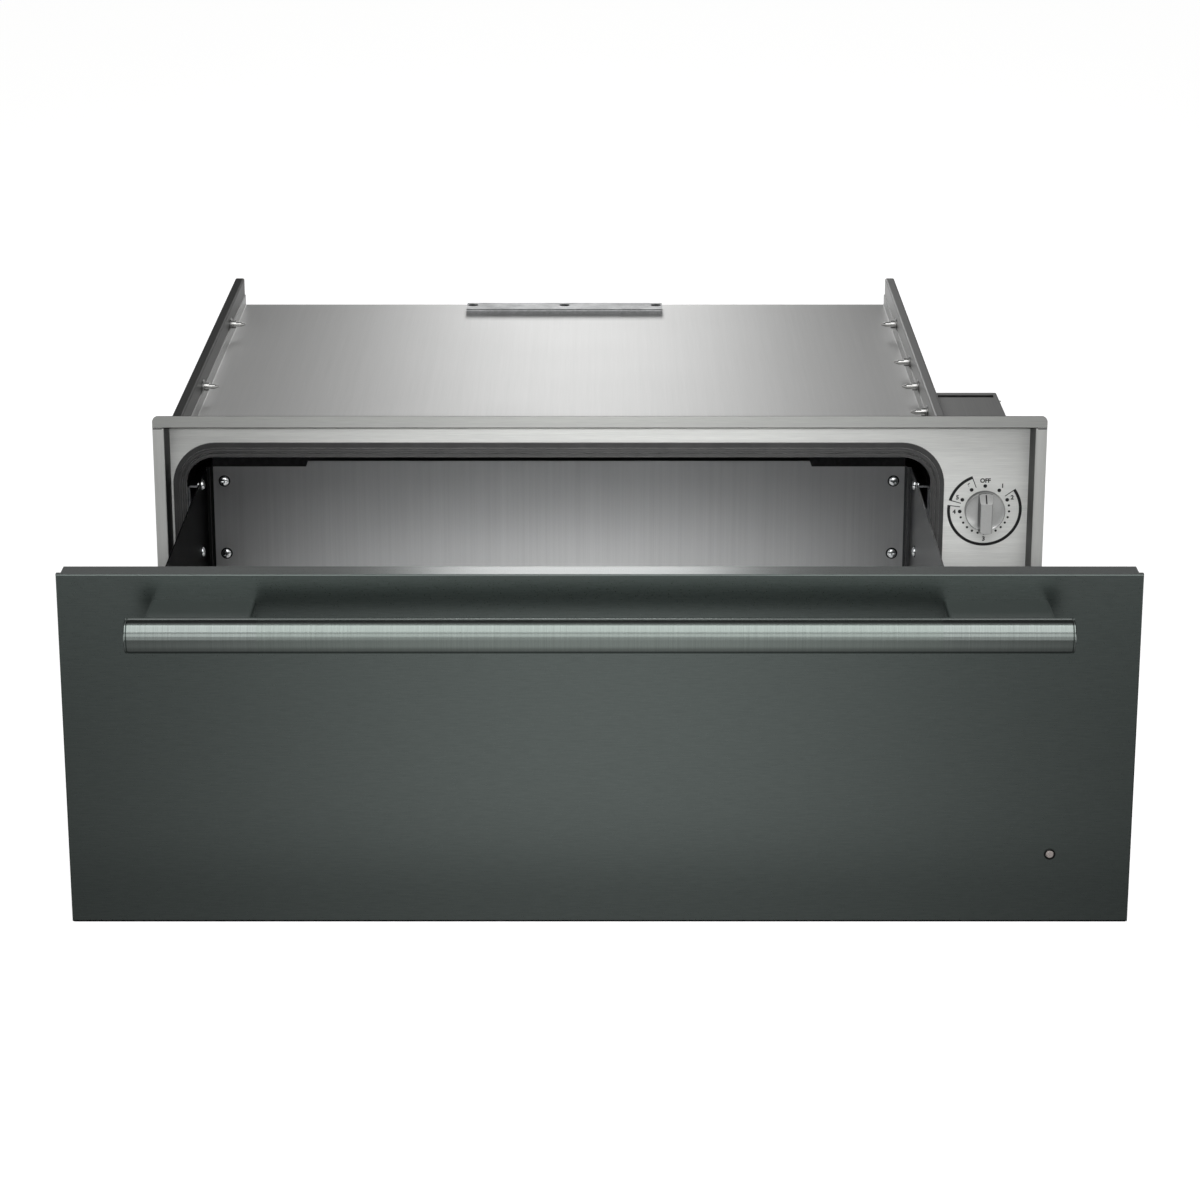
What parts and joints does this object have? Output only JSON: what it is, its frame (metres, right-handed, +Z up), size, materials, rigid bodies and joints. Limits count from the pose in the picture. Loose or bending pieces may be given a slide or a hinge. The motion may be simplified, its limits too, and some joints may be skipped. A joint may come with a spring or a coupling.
{
  "type": "warming drawer",
  "caption": "Built-in warming drawer with a bar handle, insulated oven liner, heat knob and a pan on telescopic ball-bearing slides.",
  "frame": {"origin": "middle of the cut-out's floor line at the cabinet's face: X is the panel's middle, Y = 0 the rim's back face, Z = 0 the collar's underside, which rests on the cut-out's floor", "axes": "+X to the right seen from the front, +Y to the back of the cabinet, +Z up"},
  "size_m": [0.7556, 1.1015, 0.2603],
  "materials": {
    "steel_case": "satin",
    "steel_rim": "satin",
    "steel_pan": "satin",
    "steel_zinc": "satin",
    "steel_slide": "satin",
    "steel_ball": "polished",
    "steel_liner": "satin",
    "screw_steel": "satin",
    "front_paint": "satin",
    "front_back": "satin",
    "handle_tube": "satin",
    "handle_end": "satin",
    "mount_metal": "satin",
    "gasket_rubber": "matte",
    "wool": "matte",
    "element_steel": "satin",
    "ceramic": "satin",
    "black_plastic": "matte",
    "knob_plastic": "satin",
    "lens_plastic": "gloss",
    "stop_steel": "satin"
  },
  "bodies": {
    "chassis": {"base_pan": "steel_case", "side_panel_left": "steel_case", "side_panel_right": "steel_case", "rear_panel": "steel_case", "top_cover": "steel_case", "top_bracket": "steel_zinc", "frame_top": "steel_rim", "frame_bottom": "steel_rim", "frame_left": "steel_rim", "frame_right": "steel_rim", "fascia": "steel_rim", "door_gasket": "gasket_rubber", "cavity_liner": "steel_liner", "liner_insulation": "wool", "heating_element": "element_steel", "element_clips": "steel_liner", "element_terminals": "ceramic", "thermal_cutout": "ceramic", "drawer_stops": "stop_steel", "slide_bracket_left": "steel_zinc", "slide_bracket_right": "steel_zinc", "slide_outer_left": "steel_slide", "slide_outer_right": "steel_slide", "case_screws": "screw_steel", "cover_screws": "screw_steel", "control_box": "steel_case", "control_box_lid": "steel_case", "heat_regulator": "black_plastic", "power_inlet_bushing": "black_plastic"},
    "drawer": {"front_skin": "front_paint", "front_frame": "front_paint", "front_liner": "front_back", "front_insulation": "wool", "handle_bar": "handle_tube", "handle_sleeve_left": "handle_end", "handle_sleeve_right": "handle_end", "handle_mount_left": "mount_metal", "handle_mount_right": "mount_metal", "handle_screws": "screw_steel", "indicator_lens": "lens_plastic", "indicator_bezel": "handle_end", "indicator_lamp": "black_plastic", "pan_floor": "steel_pan", "pan_side_left": "steel_pan", "pan_side_right": "steel_pan", "pan_back": "steel_pan", "drawer_screws": "screw_steel", "slide_inner_left": "steel_slide", "slide_inner_right": "steel_slide"},
    "slide_mid_left": {"slide_mid_left": "steel_slide"},
    "slide_mid_right": {"slide_mid_right": "steel_slide"},
    "ball_cage_outer_left": {"ball_cage_outer_left": "steel_ball"},
    "ball_cage_outer_right": {"ball_cage_outer_right": "steel_ball"},
    "ball_cage_inner_left": {"ball_cage_inner_left": "steel_ball"},
    "ball_cage_inner_right": {"ball_cage_inner_right": "steel_ball"},
    "knob": {"control_knob": "knob_plastic", "selector_shaft": "screw_steel"}
  },
  "joints": [
    {"name": "drawer_slide", "type": "slide", "parent": "chassis", "child": "drawer", "axis": [0, -1, 0], "range_m": [-0.4427, 0]},
    {"name": "slide_mid_left_slide", "type": "slide", "parent": "chassis", "child": "slide_mid_left", "axis": [0, -1, 0], "range_m": [-0.22135, 0]},
    {"name": "ball_cage_outer_left_slide", "type": "slide", "parent": "chassis", "child": "ball_cage_outer_left", "axis": [0, -1, 0], "range_m": [-0.11067, 0]},
    {"name": "ball_cage_inner_left_slide", "type": "slide", "parent": "chassis", "child": "ball_cage_inner_left", "axis": [0, -1, 0], "range_m": [-0.33203, 0]},
    {"name": "slide_mid_right_slide", "type": "slide", "parent": "chassis", "child": "slide_mid_right", "axis": [0, -1, 0], "range_m": [-0.22135, 0]},
    {"name": "ball_cage_outer_right_slide", "type": "slide", "parent": "chassis", "child": "ball_cage_outer_right", "axis": [0, -1, 0], "range_m": [-0.11067, 0]},
    {"name": "ball_cage_inner_right_slide", "type": "slide", "parent": "chassis", "child": "ball_cage_inner_right", "axis": [0, -1, 0], "range_m": [-0.33203, 0]},
    {"name": "knob_turn", "type": "hinge", "parent": "chassis", "child": "knob", "pos_m": [0.3235, 0.034, 0.1499], "axis": [0, 1, 0], "range_deg": [0, 330]}
  ],
  "couplings": [
    {"joint": "slide_mid_left_slide", "follows": "drawer_slide", "ratio": 0.5},
    {"joint": "ball_cage_outer_left_slide", "follows": "drawer_slide", "ratio": 0.25},
    {"joint": "ball_cage_inner_left_slide", "follows": "drawer_slide", "ratio": 0.75},
    {"joint": "slide_mid_right_slide", "follows": "drawer_slide", "ratio": 0.5},
    {"joint": "ball_cage_outer_right_slide", "follows": "drawer_slide", "ratio": 0.25},
    {"joint": "ball_cage_inner_right_slide", "follows": "drawer_slide", "ratio": 0.75}
  ]
}
